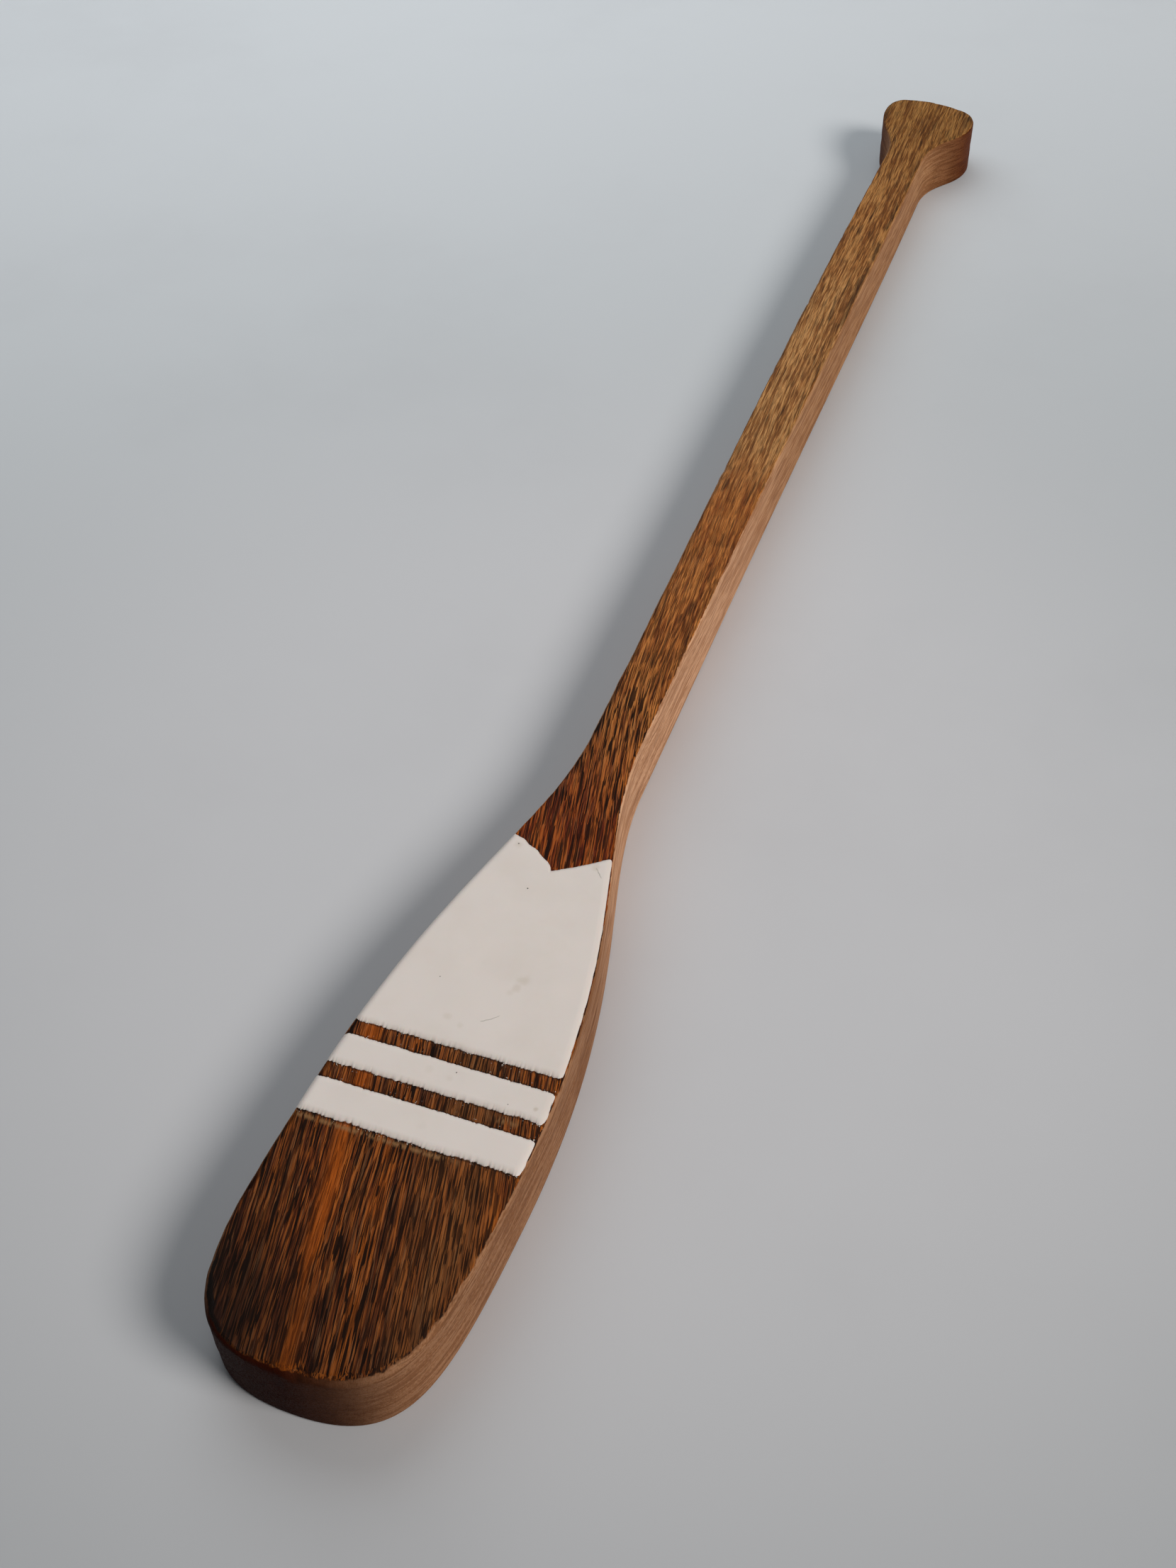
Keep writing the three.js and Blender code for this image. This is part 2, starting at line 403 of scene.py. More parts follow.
def pocket_depth(x, y):
    """How deep the face is sunk at a point, from its margins inside each enamel field.

    The nearest margin, less the pocket's own margin, is eased from 0 to the full depth."""
    at = y + centre_of_back[1]
    middle = np.interp(at, spine_y[:HALF_STEPS], spine[:HALF_STEPS, 0])
    edge_reach = np.interp(at, half[:, 1], half[:, 0]) - np.abs(x - middle)
    notch_share = np.clip(np.abs(x - middle) / NOTCH_HALF, 0, 1)
    notch = NOTCH_APEX + (NOTCH_SHOULDER - NOTCH_APEX) * notch_share
    depth = np.zeros_like(x)
    for foot, head in (LOWER_STRIPE, UPPER_STRIPE, (PANEL_FOOT, notch)):
        inside = np.minimum(np.minimum(at - foot, head - at), edge_reach) - POCKET_MARGIN
        t = np.clip(inside / POCKET_SLOPE, 0, 1)
        depth = np.maximum(depth, POCKET_DEPTH * t * t * (3 - 2 * t))
    return depth


def board_rows():
    """Rows of points from the face's middle line, over the arris, down the side and under the back.

    Each row holds one point for each place round the edge, and has its share of flank. Face and
    back run straight from the middle line to an arris, an arris is a quarter turn, and the side
    drops straight with a slight hollow."""
    wide, deep = arris_sizes()
    wander = (SAW_WANDER * ripple(edge_run, (61, 37, 19), 5))[:, None]
    rows, flank = [], []
    arris_start = rim + inward * wide
    for w in np.linspace(0, 1, FACE_ROWS) ** FACE_CROWDING:
        xy = spine * (1 - w) + arris_start * w
        wave = FACE_WAVE * np.sin(xy[:, :1] / 9 + 0.7) * np.sin(xy[:, 1:] / 31)
        lift = np.minimum(wave - FACE_DROP * w ** 4, 0)
        rows.append(np.hstack([xy, THICKNESS - pocket_depth(xy[:, :1], xy[:, 1:]) + lift]))
        flank.append(0.0)
    for turn in np.linspace(0, np.pi / 2, ARRIS_ROWS + 1)[1:]:
        xy = rim + inward * (wide * (1 - np.sin(turn)) + wander * np.sin(turn) + RIM_INSET)
        rows.append(np.hstack([xy, THICKNESS - FACE_DROP - deep * (1 - np.cos(turn))]))
        flank.append(turn / (np.pi / 2))
    for drop in np.linspace(0, 1, SIDE_ROWS + 1)[1:]:
        top = THICKNESS - FACE_DROP - deep
        z = top + (BACK_ARRIS - top) * drop
        hollow = SIDE_HOLLOW * ripple(edge_run + 40 * drop, (83, 29, 13), 7)[:, None] * np.sin(np.pi * drop)
        rows.append(np.hstack([rim + inward * (RIM_INSET + wander * (1 - drop) + hollow), z]))
        flank.append(1.0)
    for turn in np.linspace(0, np.pi / 2, BACK_ARRIS_ROWS + 1)[1:]:
        xy = rim + inward * (BACK_ARRIS * (1 - np.cos(turn)) + RIM_INSET)
        rows.append(np.hstack([xy, BACK_ARRIS * (1 - np.sin(turn)) * np.ones_like(wide)]))
        flank.append(1.0)
    for w in np.linspace(1, 0, BACK_ROWS + 1)[1:]:
        xy = spine * (1 - w) + (rim + inward * (BACK_ARRIS + RIM_INSET)) * w
        rows.append(np.hstack([xy, np.zeros_like(wide)]))
        flank.append(1.0)
    return np.array(rows), np.array(flank)


def mesh_piece(name, points, faces, masks, finish):
    """Makes one smooth-shaded piece from points in mm, quads, and named masks on its points."""
    used, faces = np.unique(faces, return_inverse=True)
    mesh = bpy.data.meshes.new(name)
    mesh.from_pydata((points[used] * MM).tolist(), [], faces.reshape(-1, 4).tolist())
    for mask, values in masks.items():
        attribute = mesh.attributes.new(mask, "FLOAT", "POINT")
        attribute.data.foreach_set("value", values[used].astype(np.float32))
    mesh.polygons.foreach_set("use_smooth", np.ones(len(mesh.polygons), bool))
    mesh.materials.append(finish)
    mesh.update()
    piece = bpy.data.objects.new(name, mesh)
    bpy.context.scene.collection.objects.link(piece)
    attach(piece, "root")
    return piece


def board_faces(row_count, places):
    """Quads between neighbouring rows, round the whole edge; both middle lines are stitched shut."""
    row, place_at = np.meshgrid(np.arange(row_count), np.arange(places), indexing="ij")
    mirror = np.minimum(place_at, (places - place_at) % places)
    stitched = np.where((row == 0) | (row == row_count - 1), mirror, place_at)
    index = row * places + stitched
    after = np.roll(index, -1, 1)
    return np.stack([index[:-1], index[1:], after[1:], after[:-1]], -1).reshape(-1, 4)


def new_group(name, inputs, outputs):
    """An empty shader group with its named inputs and outputs."""
    tree = bpy.data.node_groups.new(name, "ShaderNodeTree")
    kinds = {"value": "NodeSocketFloat", "vector": "NodeSocketVector"}
    for label, kind in inputs.items():
        tree.interface.new_socket(label, in_out="INPUT", socket_type=kinds[kind])
    for label, kind in outputs.items():
        tree.interface.new_socket(label, in_out="OUTPUT", socket_type=kinds[kind])
    return tree, tree.nodes.new("NodeGroupInput"), tree.nodes.new("NodeGroupOutput")


def use_group(tree, group, inputs):
    """One use of a group in a material, with its inputs filled or linked; gives its first output."""
    made = tree.nodes.new("ShaderNodeGroup")
    made.node_tree = group
    for name, value in inputs.items():
        if isinstance(value, bpy.types.NodeSocket):
            tree.links.new(value, made.inputs[name])
        else:
            made.inputs[name].default_value = value
    return made.outputs[0]


# How the grain leans across the plank: everywhere, more below the middle and most in the blade
GRAIN_LEAN = 0.035
LOWER_LEAN = 0.045
LOWER_TURN = 0.04
BLADE_LEAN = 0.15
BLADE_STARTS = 0.10
BLADE_TURN = 0.06
GRAIN_WANDER = 0.0035
WANDER_SCALE = (30, 11, 30)
GRAIN_DIP = 0.024


def grain_space_group():
    """Turns object coordinates so that the plank's grain runs straight along Y.

    Across = x + grain lean y + lower lean min(y, 0) + blade lean min(y + where the blade starts, 0)
    + a slow wander, with each corner rounded, and the grain dips a little through the thickness."""
    tree, source, result = new_group("grain_space", {"Place": "vector"}, {"Grain": "vector"})
    x, y, z = node(tree, "ShaderNodeSeparateXYZ", {0: source.outputs[0]}).outputs
    in_blade = maths(tree, "SMOOTH_MIN", maths(tree, "ADD", y, BLADE_STARTS), 0.0, BLADE_TURN)
    in_lower = maths(tree, "SMOOTH_MIN", y, 0.0, LOWER_TURN)
    leaned = maths(tree, "MULTIPLY_ADD", y, GRAIN_LEAN, x)
    leaned = maths(tree, "MULTIPLY_ADD", in_lower, LOWER_LEAN, leaned)
    leaned = maths(tree, "MULTIPLY_ADD", in_blade, BLADE_LEAN, leaned)
    stretched = vector_maths(tree, "MULTIPLY", source.outputs[0], WANDER_SCALE)
    wander = maths(tree, "SUBTRACT", noise(tree, stretched, 1.0, 1.0), 0.5)
    leaned = maths(tree, "MULTIPLY_ADD", wander, GRAIN_WANDER, leaned)
    dipped = maths(tree, "MULTIPLY_ADD", y, GRAIN_DIP, z)
    turned = node(tree, "ShaderNodeCombineXYZ", {0: leaned, 1: y, 2: dipped}).outputs[0]
    tree.links.new(turned, result.inputs[0])
    return tree


def grain_marks_group():
    """Long thin marks in the grain: a cloud pattern stretched to a width and a length, cut at a level."""
    tree, source, result = new_group(
        "grain_marks",
        {"Grain": "vector", "Width": "value", "Length": "value", "Level": "value", "Softness": "value"},
        {"Mask": "value"})
    grain, width, length, level, softness = source.outputs[:5]
    thin = maths(tree, "DIVIDE", 1.0, width)
    slow = maths(tree, "DIVIDE", 1.0, length)
    scale = node(tree, "ShaderNodeCombineXYZ", {0: thin, 1: slow, 2: thin}).outputs[0]
    cloud = noise(tree, vector_maths(tree, "MULTIPLY", grain, scale), 1.0, 1.0, 0.45)
    top = maths(tree, "ADD", level, softness)
    tree.links.new(eased(tree, cloud, level, top), result.inputs[0])
    return tree


GRAIN_SPACE = grain_space_group()
GRAIN_MARKS = grain_marks_group()


def marks(tree, grain, width, length, level, softness):
    """Grain marks of a width and length in mm."""
    return use_group(tree, GRAIN_MARKS, {"Grain": grain, "Width": width * MM, "Length": length * MM,
                                         "Level": level, "Softness": softness})


def banded(tree, grain, bands):
    """The grain's tone around one half: its bands of each width and length, each times its share."""
    total = 0.0
    for width, length, share in bands:
        total = maths(tree, "MULTIPLY_ADD", marks(tree, grain, width, length, *BAND_CUT), share, total)
    return total


def ramp(tree, value, stops):
    """A colour that passes through the stops, given as (place, colour) pairs."""
    made = node(tree, "ShaderNodeValToRGB", {0: value})
    elements = made.color_ramp.elements
    while len(elements) < len(stops):
        elements.new(0.5)
    for element, (place_at, colour) in zip(elements, stops):
        element.position = place_at
        element.color = (*colour, 1)
    return made.outputs[0]


def near(tree, value, centre, half_width):
    """A mask that is 1 at a value's centre and eases to 0 at the half width."""
    away = maths(tree, "ABSOLUTE", maths(tree, "SUBTRACT", value, centre))
    return eased(tree, away, half_width, 0.0)


def near_lines(tree, value, centres, half_width):
    """A mask that is 1 at each of several centres and eases to 0 at the half width."""
    mask = 0.0
    for centre in centres:
        mask = maths(tree, "MAXIMUM", near(tree, value, centre, half_width), mask)
    return mask


def scaled(tree, value, share):
    """A value times a share."""
    return maths(tree, "MULTIPLY", value, share)


def from_tip(distance):
    """The Y in metres of a place so many mm from the blade's tip."""
    return (distance - centre_of_back[1]) * MM


def stored(tree, mask):
    """A mask that is kept on the piece's points."""
    return node(tree, "ShaderNodeAttribute", attribute_name=mask).outputs["Fac"]


# Tones from dark to light grain, of the stain on blade, neck and shaft and of the bare sides
BLADE_TONES = ((0.36, (0.080, 0.017, 0.003)), (0.46, (0.162, 0.035, 0.005)),
               (0.54, (0.242, 0.057, 0.008)), (0.64, (0.350, 0.094, 0.014)))
NECK_TONES = ((0.36, (0.106, 0.014, 0.002)), (0.46, (0.190, 0.028, 0.002)),
              (0.54, (0.290, 0.053, 0.005)), (0.64, (0.385, 0.088, 0.011)))
SHAFT_TONES = ((0.36, (0.234, 0.084, 0.021)), (0.46, (0.369, 0.151, 0.041)),
               (0.54, (0.468, 0.207, 0.062)), (0.64, (0.585, 0.286, 0.098)))
FLANK_TONES = ((0.36, (0.446, 0.213, 0.106)), (0.46, (0.540, 0.272, 0.141)),
               (0.54, (0.611, 0.325, 0.177)), (0.64, (0.693, 0.386, 0.224)))
ORANGE_TONE = (0.470, 0.110, 0.007, 1)
EMBER_TONE = (0.360, 0.072, 0.005, 1)
# Greyish olive of the blade's right half: partly the stain's own tone, partly painted sheen
OLIVE_AND_SHEEN_TONE = (0.172, 0.064, 0.018, 1)
PORE_TONE = (0.008, 0.0035, 0.002, 1)
FLANK_PORE_TONE = (0.130, 0.050, 0.024, 1)
SCORCH_TONE = (0.008, 0.005, 0.004, 1)
# Pale tone for scraped fibres, and for the painted sheen of the pale hairs
SCRAPED_AND_SHEEN_TONE = (0.300, 0.150, 0.060, 1)
SPLASH_TONE = (0.66, 0.58, 0.50, 1)

# Shades along the paddle, each with its span as Y in metres: where it begins and where it is full
BLADE_TO_NECK = (-0.25, -0.19)
NECK_TO_SHAFT = (-0.166, -0.103)
BARE_BLADE = (-0.17, -0.20)
LOWER_SHADE = (0.92, 0.66, 0.42, 1)
LOWER_SHAFT = (0.045, -0.005)
UPPER_SHADE = (0.905, 0.83, 0.72, 1)
UPPER_SHAFT = (0.14, 0.20)
GRIP_SHADE = (0.76, 0.79, 0.72, 1)
GRIP_SPAN = (0.20, 0.33)
TIP_SHADE = (0.68, 0.72, 0.90, 1)
TIP_SPAN = (-0.300, -0.332)
FLANK_SHADES = (((-0.16, -0.22), (0.53, 0.47, 0.41, 1)), ((-0.06, 0.08), (0.69, 0.62, 0.49, 1)),
                ((0.280, 0.315), (0.26, 0.12, 0.04, 1)))
END_SHADE = (0.100, 0.029, 0.009, 1)
DARK_CORNER = (-0.024, -0.330, 0.022)
DARK_CORNER_SPAN = (0.031, 0.006, 0.0, 0.6)

# Bands of the grain's tone: width and length in mm, and share; all have one level and softness
BAND_CUT = (0.25, 0.5)
HAIR_BAND = (0.36, 10)
GRAIN_BANDS = ((2.6, 75, 0.16), (7.0, 260, 0.12), (0.9, 32, 0.36), (*HAIR_BAND, 0.36))
FLANK_STRETCH = (0.12, 1.0, 1.0)
FLANK_BANDS = ((1.6, 50, 0.35), (0.55, 14, 0.35))
FLANK_HAIR_SHARE = 0.3

# The end grain's mottling, in features per metre
END_CLOUDS = 160
END_SPECKLES = 850
SPECKLE_SHARE = 0.6

# Marks in the grain: width and length in mm, then the level and softness of their cut
PATCHES = (5.0, 38, 0.36, 0.2)
PATCH_SHARE = 0.45
COARSE_PORES = (0.52, 13.0, 0.55, 0.02)
FINE_PORES = (0.36, 9.0, 0.545, 0.025)
FINE_PORE_SHARE = 0.72
SHORT_PORES = (0.26, 6.5, 0.56, 0.05)
SHORT_PORE_SHARE = 0.40
DARK_FLAMES = (1.3, 24, 0.63, 0.07)
# Pale hairs: partly pale grain, partly painted sheen
PALE_HAIRS_AND_SHEEN = (0.45, 14.0, 0.56, 0.08)
PALE_HAIR_AND_SHEEN_SHARE = 0.25
SCRAPED_FIBRES = (0.7, 3.0, 0.40, 0.16)
SCRAPED_SHARE = 0.75
FLANK_LINES = (0.55, 20, 0.57, 0.05)
FLANK_LINE_SPAN = (0.5, 0.0, 0.0, 0.28)
DARK_LINE_PATCHES = (3.0, 11, 0.38, 0.2)
DARK_LINE_SHARE = 0.75

# Where the pores are strongest: across the grain and along the paddle, then the two strengths
OPEN_SIDE = (-0.042, -0.048, 0.75, 1.0)
OPEN_BLADE = (-0.12, -0.18)
OPEN_NECK = (-0.13, 0.09)
COARSE_PORE_SPAN = (0.0, 1.0, 0.45, 1.0)
PORE_FADE = (-0.12, 0.06, 0.95, 0.42)
PLAIN_SIDE = (-0.050, -0.040)
FLAME_SPAN = (0.0, 1.0, 0.55, 0.12)

# Streaks that run down the blade: place across the grain, half width (mm), tone and strength
BLADE_STREAKS = (
    (-64.0, 4.6, ORANGE_TONE, 0.9), (-51.0, 2.8, ORANGE_TONE, 0.4), (-78.5, 2.4, ORANGE_TONE, 0.2),
    (-57.0, 2.0, PORE_TONE, 0.65), (-77.0, 6.5, PORE_TONE, 0.5), (-85.0, 9.0, PORE_TONE, 0.45),
    # The olive streak on the right half is partly the stain's tone and partly painted sheen
    (-47.0, 1.2, PORE_TONE, 0.5), (-33.0, 17.0, OLIVE_AND_SHEEN_TONE, 0.72),
)
EMBER_STREAK = (-0.0642, 0.0045)
EMBER_SPAN = (-0.19, -0.24)
EMBER_PATCH_SPAN = (0.0, 1.0, 0.10, 0.65)

# Beside the enamel: a dark seam of fibres that is also painted shadow under the enamel's proud edges, fine
# splashes of white and fibres scraped pale, in mm from the tip
SEAM_AND_SHADOW_WIDTH = 0.75
SEAM_FIBRES = 900
SEAM_AND_SHADOW_SPAN = (0.75, 1.25)
SEAM_AND_SHADOW_SHARE = 0.6
SPLASH_WIDTH = 1.7
SPLASH_DOTS = 1400
SPLASH_SPAN = (0.67, 0.70)
FOOT_SCRAPE = (LOWER_STRIPE[0] - 1.4, 1.2)
FOOT_SCRAPE_SIDE = (0.018, 0.010)
BAND_SCRAPE = (77.6, 1.6)
BAND_SCRAPE_SIDE = (0.0215, 0.006)

# The finish: roughness of the stain, and what pores and sanding add; the pores' depth in mm
STAIN_ROUGHNESS = 0.42
PORE_ROUGHNESS = 0.25
SANDED_ROUGHNESS = 0.16
WOOD_SPECULAR = 0.06
PORE_DEPTH = 0.2
PORE_RELIEF = 0.6
SHORT_PORE_RELIEF = 0.4

# The uneven edges of the sanding and of the scorched corner, in features per metre
EDGE_FIBRES = 500
EDGE_UNEVENNESS = 0.45
SANDED_SPAN = (0.32, 0.46)
SCORCH_CLOUDS = 420
SCORCH_UNEVENNESS = 0.9
SCORCH_SPAN = (0.85, 1.25)

board_finish, tree, surface, place = shader_material("stained_hardwood_and_painted_light")
grain = use_group(tree, GRAIN_SPACE, {"Place": place})
x_at, y_at = node(tree, "ShaderNodeSeparateXYZ", {0: place}).outputs[:2]
across_grain = node(tree, "ShaderNodeSeparateXYZ", {0: grain}).outputs[0]

# The stain: its tone follows the grain, streaked down the blade, and shades off along the paddle
tone = banded(tree, grain, GRAIN_BANDS)
patchy = marks(tree, grain, *PATCHES)
face = ramp(tree, tone, BLADE_TONES)
broken = maths(tree, "MULTIPLY_ADD", patchy, PATCH_SHARE, 1 - PATCH_SHARE)
for middle, half_width, streak_tone, strength in BLADE_STREAKS:
    streak = maths(tree, "MULTIPLY", near(tree, across_grain, middle * MM, half_width * MM), broken)
    face = blend(tree, scaled(tree, streak, strength), face, streak_tone)
face = blend(tree, eased(tree, y_at, *BLADE_TO_NECK), face, ramp(tree, tone, NECK_TONES))
shaft = shaded(tree, eased(tree, y_at, *LOWER_SHAFT), ramp(tree, tone, SHAFT_TONES), LOWER_SHADE)
face = blend(tree, eased(tree, y_at, *NECK_TO_SHAFT), face, shaft)
face = shaded(tree, eased(tree, y_at, *UPPER_SHAFT), face, UPPER_SHADE)
face = shaded(tree, eased(tree, y_at, *GRIP_SPAN), face, GRIP_SHADE)

# The open grain: pale hairs, partly painted sheen; long dark pores, strongest on the blade's
# left and the neck; and dark flames, which fade on the blade's right
short_pores = marks(tree, grain, *SHORT_PORES)
open_grain = maths(tree, "MULTIPLY", eased(tree, across_grain, *OPEN_SIDE), eased(tree, y_at, *OPEN_BLADE))
open_grain = maths(tree, "MAXIMUM", open_grain, near(tree, y_at, *OPEN_NECK))
coarse_pores = marks(tree, grain, *COARSE_PORES)
pores = maths(tree, "MULTIPLY", coarse_pores, eased(tree, open_grain, *COARSE_PORE_SPAN))
pores = maths(tree, "MAXIMUM", pores, scaled(tree, marks(tree, grain, *FINE_PORES), FINE_PORE_SHARE))
pores = maths(tree, "MULTIPLY", pores, eased(tree, y_at, *PORE_FADE))
plain_side = maths(tree, "MULTIPLY", eased(tree, across_grain, *PLAIN_SIDE), eased(tree, y_at, *BARE_BLADE))
flames = maths(tree, "MULTIPLY", marks(tree, grain, *DARK_FLAMES), eased(tree, plain_side, *FLAME_SPAN))
ember = maths(tree, "MULTIPLY", near(tree, across_grain, *EMBER_STREAK), eased(tree, y_at, *EMBER_SPAN))
ember = maths(tree, "MULTIPLY", ember, eased(tree, patchy, *EMBER_PATCH_SPAN))
# Painted sheen, partly real pale grain: light hairs blended over the stain
face = blend(tree, scaled(tree, marks(tree, grain, *PALE_HAIRS_AND_SHEEN), PALE_HAIR_AND_SHEEN_SHARE), face, SCRAPED_AND_SHEEN_TONE)
face = blend(tree, flames, face, PORE_TONE)
face = blend(tree, pores, face, PORE_TONE)
face = blend(tree, ember, face, EMBER_TONE)
face = blend(tree, scaled(tree, short_pores, SHORT_PORE_SHARE), face, PORE_TONE)

# A thin line of dark fibres along each enamel edge, partly painted shadow of the proud enamel, and fibres
# scraped pale beside the stripes
seam_noise = noise(tree, place, SEAM_FIBRES, 3.0)
enamel_lines = [from_tip(line) for line in (*LOWER_STRIPE, *UPPER_STRIPE, PANEL_FOOT)]
seams_and_painted_shadow = near_lines(tree, y_at, enamel_lines, SEAM_AND_SHADOW_WIDTH * MM)
seams_and_painted_shadow = eased(tree, maths(tree, "ADD", seams_and_painted_shadow, seam_noise), *SEAM_AND_SHADOW_SPAN)
splashed = near_lines(tree, y_at, enamel_lines, SPLASH_WIDTH * MM)
dots = eased(tree, noise(tree, place, SPLASH_DOTS, 2.0), *SPLASH_SPAN)
dots = maths(tree, "MULTIPLY", maths(tree, "MULTIPLY", splashed, dots), eased(tree, y_at, *BARE_BLADE))
foot_scrape = near(tree, y_at, from_tip(FOOT_SCRAPE[0]), FOOT_SCRAPE[1] * MM)
foot_scrape = maths(tree, "MULTIPLY", foot_scrape, eased(tree, x_at, *FOOT_SCRAPE_SIDE))
band_scrape = near(tree, y_at, from_tip(BAND_SCRAPE[0]), BAND_SCRAPE[1] * MM)
band_scrape = maths(tree, "MULTIPLY", band_scrape, near(tree, x_at, *BAND_SCRAPE_SIDE))
scraped = maths(tree, "MAXIMUM", foot_scrape, band_scrape)
scraped = maths(tree, "MULTIPLY", scraped, marks(tree, grain, *SCRAPED_FIBRES))
face = blend(tree, scaled(tree, scraped, SCRAPED_SHARE), face, SCRAPED_AND_SHEEN_TONE)
# Painted shadow: the wood darkened along each enamel edge, together with its dark fibres
face = blend(tree, scaled(tree, seams_and_painted_shadow, SEAM_AND_SHADOW_SHARE), face, PORE_TONE)
face = blend(tree, dots, face, SPLASH_TONE)

# The darker tip, its dark left corner, and a dark line along the upper shaft's arris
face = shaded(tree, eased(tree, y_at, *TIP_SPAN), face, TIP_SHADE)
corner_off = vector_maths(tree, "DISTANCE", place, DARK_CORNER, "Value")
face = blend(tree, eased(tree, corner_off, *DARK_CORNER_SPAN), face, PORE_TONE)
dark_arris_line = maths(tree, "MULTIPLY", stored(tree, "dark_arris"), marks(tree, grain, *DARK_LINE_PATCHES))
face = blend(tree, scaled(tree, dark_arris_line, DARK_LINE_SHARE), face, PORE_TONE)

# The sanded sides: paler grain with fine lines, mottled darker end grain round the tip, and painted shade
# along the left side
end_grain_and_shade_at = stored(tree, "end")
flank_grain = vector_maths(tree, "MULTIPLY", grain, FLANK_STRETCH)
flank_tone = maths(tree, "MULTIPLY_ADD", marks(tree, grain, *HAIR_BAND, *BAND_CUT), FLANK_HAIR_SHARE,
                   banded(tree, flank_grain, FLANK_BANDS))
speckle = scaled(tree, noise(tree, place, END_SPECKLES, 3.0), SPECKLE_SHARE)
end_tone = maths(tree, "MULTIPLY_ADD", noise(tree, place, END_CLOUDS, 3.0), 1 - SPECKLE_SHARE, speckle)
flank_tone = node(tree, "ShaderNodeMix", {0: end_grain_and_shade_at, 2: flank_tone, 3: end_tone}).outputs[0]
flank_lines = maths(tree, "MULTIPLY", marks(tree, flank_grain, *FLANK_LINES),
                    eased(tree, end_grain_and_shade_at, *FLANK_LINE_SPAN))
flank = blend(tree, flank_lines, ramp(tree, flank_tone, FLANK_TONES), FLANK_PORE_TONE)
for span, shade in FLANK_SHADES:
    flank = shaded(tree, eased(tree, y_at, *span), flank, shade)
# Darker end grain round the tip, and painted shade on the left side, away from the window
flank = shaded(tree, end_grain_and_shade_at, flank, END_SHADE)

# The stain gives way to sanded wood along an uneven line on the arris, and one corner is scorched
edge_noise = maths(tree, "SUBTRACT", noise(tree, place, EDGE_FIBRES, 3.0), 0.5)
sanded = maths(tree, "MULTIPLY_ADD", edge_noise, EDGE_UNEVENNESS, stored(tree, "flank"))
sanded = eased(tree, sanded, *SANDED_SPAN)
scorch = maths(tree, "MULTIPLY_ADD", noise(tree, place, SCORCH_CLOUDS, 3.0), SCORCH_UNEVENNESS,
               stored(tree, "scorch"))
scorch = eased(tree, scorch, *SCORCH_SPAN)
colour = blend(tree, scorch, blend(tree, sanded, face, flank), SCORCH_TONE)
tree.links.new(colour, surface.inputs["Base Color"])
rough = maths(tree, "MULTIPLY_ADD", pores, PORE_ROUGHNESS, STAIN_ROUGHNESS)
tree.links.new(maths(tree, "MULTIPLY_ADD", sanded, SANDED_ROUGHNESS, rough), surface.inputs["Roughness"])
surface.inputs["Specular IOR Level"].default_value = WOOD_SPECULAR
relief = maths(tree, "MULTIPLY_ADD", short_pores, SHORT_PORE_RELIEF, pores)
relief = maths(tree, "MULTIPLY_ADD", scorch, seam_noise, relief)
bump = node(tree, "ShaderNodeBump", {"Height": maths(tree, "SUBTRACT", 1.0, relief),
                                     "Strength": PORE_RELIEF, "Distance": PORE_DEPTH * MM})
tree.links.new(bump.outputs[0], surface.inputs["Normal"])

# Masks on the board's points: each is a bell along the edge times a bell over the rows of its skin
SCORCH_ROWS = (20, 2.6)
DARK_LINE_ROWS = (16.5, 2.8)
SPOT_ROWS = (17.0, 3.0)
DARK_ARRIS = (560, 120)
DARK_SPOTS = ((-377, 5, 1.6), (-350, 60, 0.6), (-250, 30, 0.5), (-502, 8, 0.7), (690, 14, 0.9))
# Painted shade: how far the end grain's darkening leans onto the left side
LEFT_SIDE_PAINTED_SHADE = 0.4
END_FALL = 1.5

rows, flank_rows = board_rows()
row_count, places = rows.shape[:2]
row_number = np.arange(row_count)[:, None]
scorch_mask = hump(edge_run, SCORCHED_CORNER, SCORCHED_WIDTH) * hump(row_number, *SCORCH_ROWS)
dark_mask = hump(edge_run, *DARK_ARRIS) * hump(row_number, *DARK_LINE_ROWS)
for place_along, reach_along, share in DARK_SPOTS:
    spot = share * hump(edge_run, place_along, reach_along) * hump(row_number, *SPOT_ROWS)
    dark_mask = np.maximum(dark_mask, spot)
# End grain round the tip; the lean onto the left side paints shade along the blade and shaft on the side
# away from the window
end_grain_and_shade_mask = np.clip(inward[:, 1] + LEFT_SIDE_PAINTED_SHADE * inward[:, 0], 0, 1) ** END_FALL * (along < THROAT)
board = mesh_piece(
    "paddle_board_wood", rows.reshape(-1, 3), board_faces(row_count, places),
    {"flank": np.repeat(flank_rows, places), "scorch": scorch_mask.ravel(),
     "dark_arris": dark_mask.ravel(), "end": np.tile(end_grain_and_shade_mask, row_count)}, board_finish)
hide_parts("paddle_board")


# ---------------------------------------------------------------------------
# The enamel panel: thick warm-white enamel poured across the blade from the
# stripes up to the notch, standing a little proud with soft rounded edges.
# ---------------------------------------------------------------------------
ENAMEL_PROUD = 0.55
ENAMEL_FOOTING = 0.85
ENAMEL_RIM = 1.9
ENAMEL_SINK = 0.18
ENAMEL_WAVE = 0.05
ENAMEL_RIPPLE = 0.03
SIDE_RIM = 2.2
SIDE_SINK = 0.75
LEFT_INSET = 0.12
RIGHT_INSET = 0.7
FOOTING_WIDTH = 0.955
FOOTING_MARGIN = 1.2
ENAMEL_COLUMNS = 330
SIDE_CROWDING = 1.25
PANEL_ROWS = 130
PANEL_CROWDING = 1.6
PANEL_SEED = 11
FOOT_BITE = 0.16
PANEL_HEAD_BITE = 0.05
NOTCH_BLUNTNESS = 0.0006
NOTCH_SINK = 0.024
NOTCH_HOOK = 0.62
NOTCH_WAVE = 0.02
NOTCH_WAVES = 19

left_x, left_y = rim[-1:HALF_STEPS - 2:-1].T
right_x, right_y = rim[:HALF_STEPS].T


